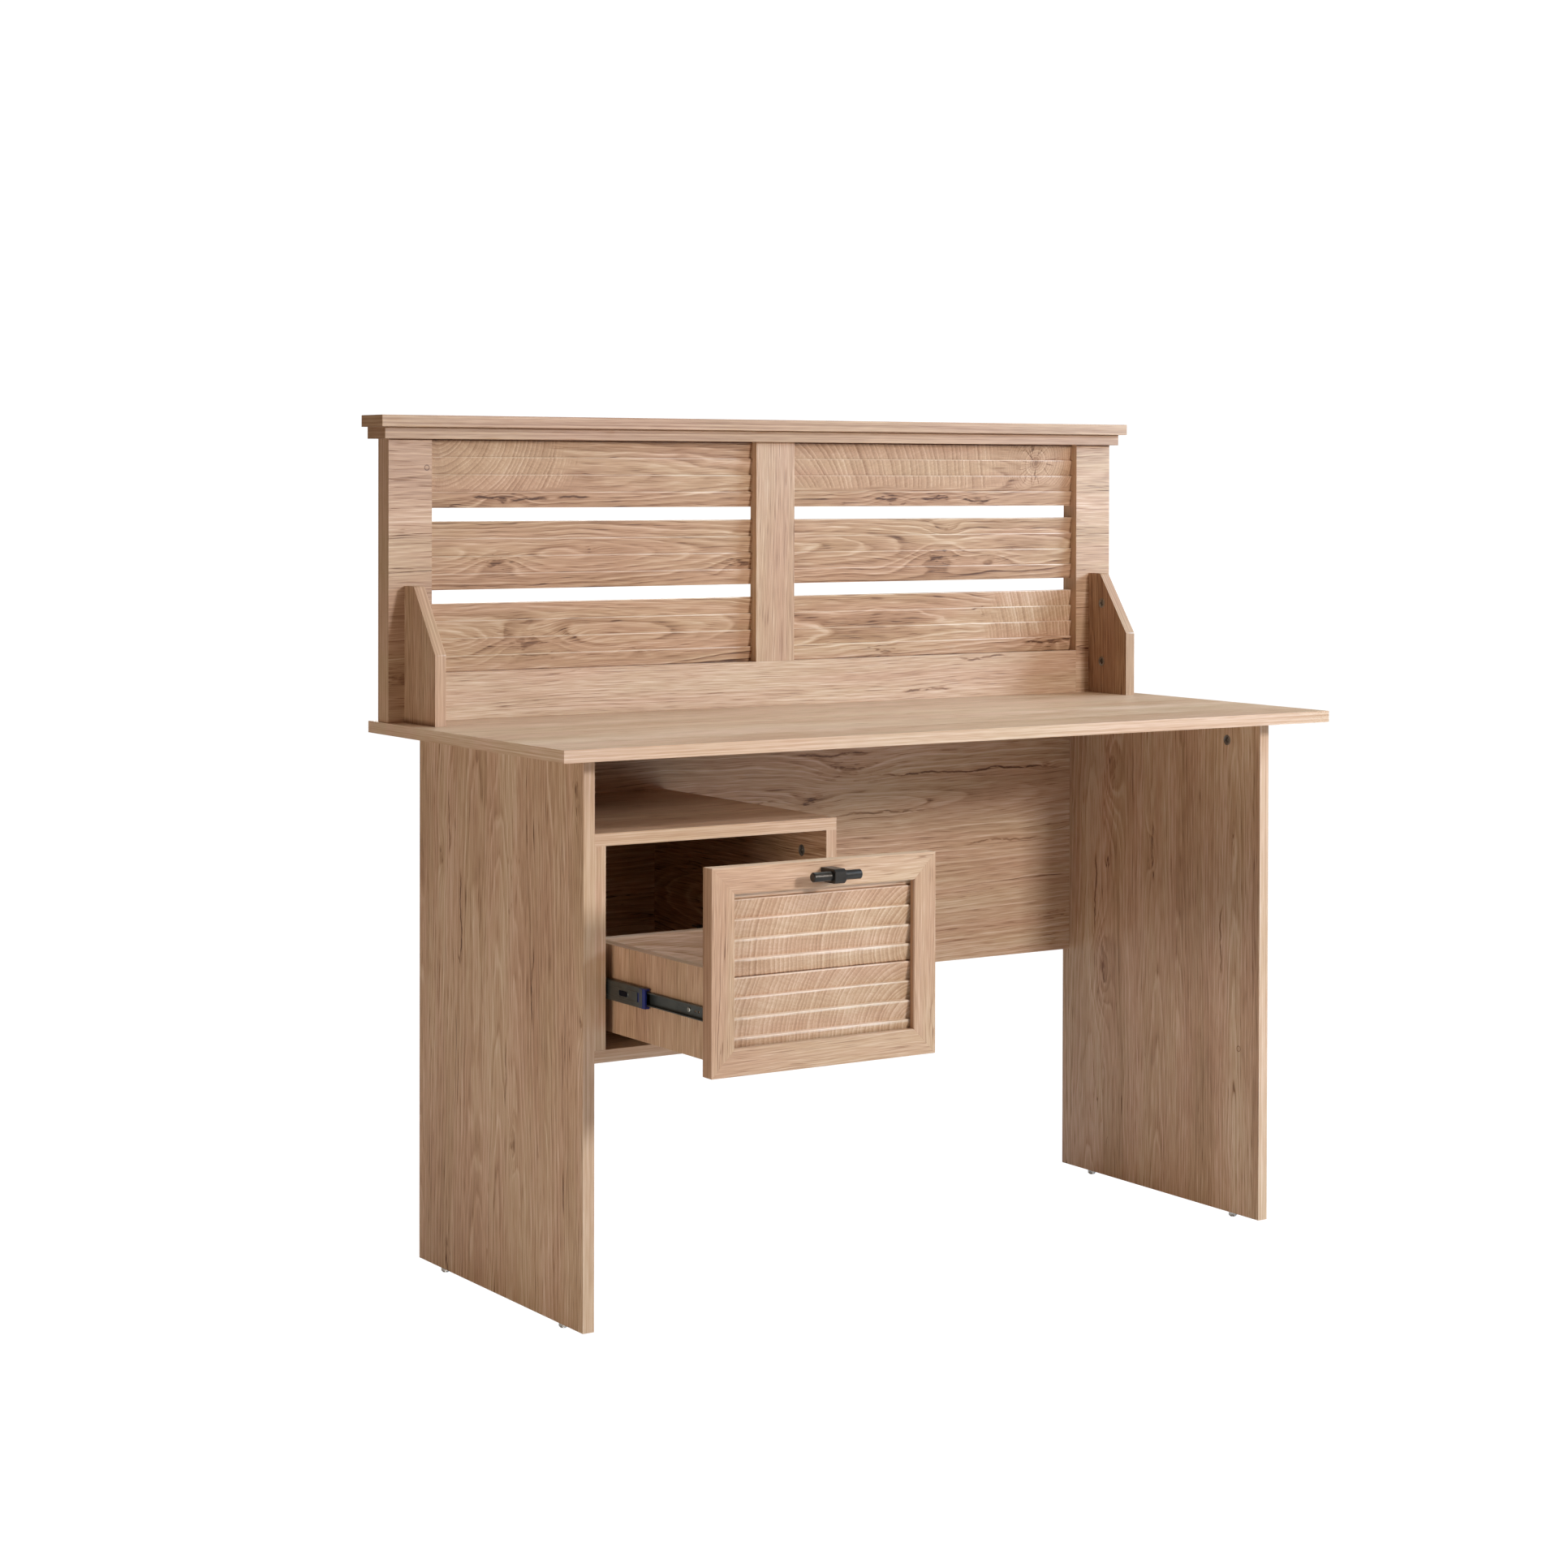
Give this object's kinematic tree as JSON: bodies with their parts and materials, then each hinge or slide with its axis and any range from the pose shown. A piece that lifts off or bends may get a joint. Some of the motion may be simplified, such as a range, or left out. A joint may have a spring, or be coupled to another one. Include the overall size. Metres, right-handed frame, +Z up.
{
  "type": "desk",
  "caption": "Student desk with panel legs, a louvred hutch, an open shelf and a louvred drawer on telescopic ball runners.",
  "frame": {"origin": "on the floor, under the middle of the whole part with its drawer at rest: halfway along the width, and halfway between the knob and the desktop's back edge", "axes": "+X to the right as the user sits, +Y away from the user to the back, +Z up"},
  "size_m": [1.28, 0.77, 1.158],
  "materials": {
    "oak_board": "satin light oak decor with edge band",
    "fibreboard": "thin board, smooth",
    "zinc_steel": "zinc-plated sheet",
    "dark_zinc": "dark die-cast",
    "black_paint": "satin black",
    "blue_plastic": "matt",
    "clear_plastic": "clear"
  },
  "bodies": {
    "desk": {"bracket_left": "oak_board", "bracket_right": "oak_board", "cabinet_bottom": "oak_board", "cabinet_side_left": "oak_board", "cabinet_side_right": "oak_board", "cam_bolts": "zinc_steel", "cam_locks": "dark_zinc", "desktop": "oak_board", "floor_glides": "clear_plastic", "hutch_cap_lower": "oak_board", "hutch_cap_upper": "oak_board", "hutch_post_left": "oak_board", "hutch_post_middle": "oak_board", "hutch_post_right": "oak_board", "hutch_rail": "oak_board", "leg_panel_left": "oak_board", "leg_panel_right": "oak_board", "louvre_left_1": "oak_board", "louvre_left_2": "oak_board", "louvre_left_3": "oak_board", "louvre_right_1": "oak_board", "louvre_right_2": "oak_board", "louvre_right_3": "oak_board", "modesty_panel": "oak_board", "open_shelf": "oak_board", "runner_cabinet_left": "zinc_steel", "runner_cabinet_right": "zinc_steel"},
    "drawer": {"drawer_back": "oak_board", "drawer_base": "fibreboard", "drawer_inner_front": "oak_board", "drawer_side_left": "oak_board", "drawer_side_right": "oak_board", "front_louvre_1": "oak_board", "front_louvre_2": "oak_board", "front_louvre_3": "oak_board", "front_rail_bottom": "oak_board", "front_rail_top": "oak_board", "front_stile_left": "oak_board", "front_stile_right": "oak_board", "knob_bar": "black_paint", "knob_neck": "black_paint", "runner_drawer_left": "zinc_steel", "runner_drawer_right": "zinc_steel"},
    "ball_cage_inner_left": {"ball_cage_inner_left": "zinc_steel"},
    "ball_cage_inner_right": {"ball_cage_inner_right": "zinc_steel"},
    "ball_cage_outer_left": {"ball_cage_outer_left": "zinc_steel"},
    "ball_cage_outer_right": {"ball_cage_outer_right": "zinc_steel"},
    "runner_middle_left": {"runner_middle_left": "zinc_steel", "runner_stop_left": "blue_plastic"},
    "runner_middle_right": {"runner_middle_right": "zinc_steel", "runner_stop_right": "blue_plastic"}
  },
  "joints": [
    {"name": "drawer_slide", "type": "slide", "parent": "desk", "child": "drawer", "axis": [0, -1, 0], "range_m": [-0.248, 0.05]},
    {"name": "runner_middle_left_slide", "type": "slide", "parent": "desk", "child": "runner_middle_left", "axis": [0, -1, 0], "range_m": [-0.124, 0.025]},
    {"name": "ball_cage_outer_left_slide", "type": "slide", "parent": "desk", "child": "ball_cage_outer_left", "axis": [0, -1, 0], "range_m": [-0.062, 0.0125]},
    {"name": "ball_cage_inner_left_slide", "type": "slide", "parent": "desk", "child": "ball_cage_inner_left", "axis": [0, -1, 0], "range_m": [-0.186, 0.0375]},
    {"name": "runner_middle_right_slide", "type": "slide", "parent": "desk", "child": "runner_middle_right", "axis": [0, -1, 0], "range_m": [-0.124, 0.025]},
    {"name": "ball_cage_outer_right_slide", "type": "slide", "parent": "desk", "child": "ball_cage_outer_right", "axis": [0, -1, 0], "range_m": [-0.062, 0.0125]},
    {"name": "ball_cage_inner_right_slide", "type": "slide", "parent": "desk", "child": "ball_cage_inner_right", "axis": [0, -1, 0], "range_m": [-0.186, 0.0375]}
  ],
  "couplings": [
    {"joint": "runner_middle_left_slide", "follows": "drawer_slide", "ratio": 0.5},
    {"joint": "ball_cage_outer_left_slide", "follows": "drawer_slide", "ratio": 0.25},
    {"joint": "ball_cage_inner_left_slide", "follows": "drawer_slide", "ratio": 0.75},
    {"joint": "runner_middle_right_slide", "follows": "drawer_slide", "ratio": 0.5},
    {"joint": "ball_cage_outer_right_slide", "follows": "drawer_slide", "ratio": 0.25},
    {"joint": "ball_cage_inner_right_slide", "follows": "drawer_slide", "ratio": 0.75}
  ]
}
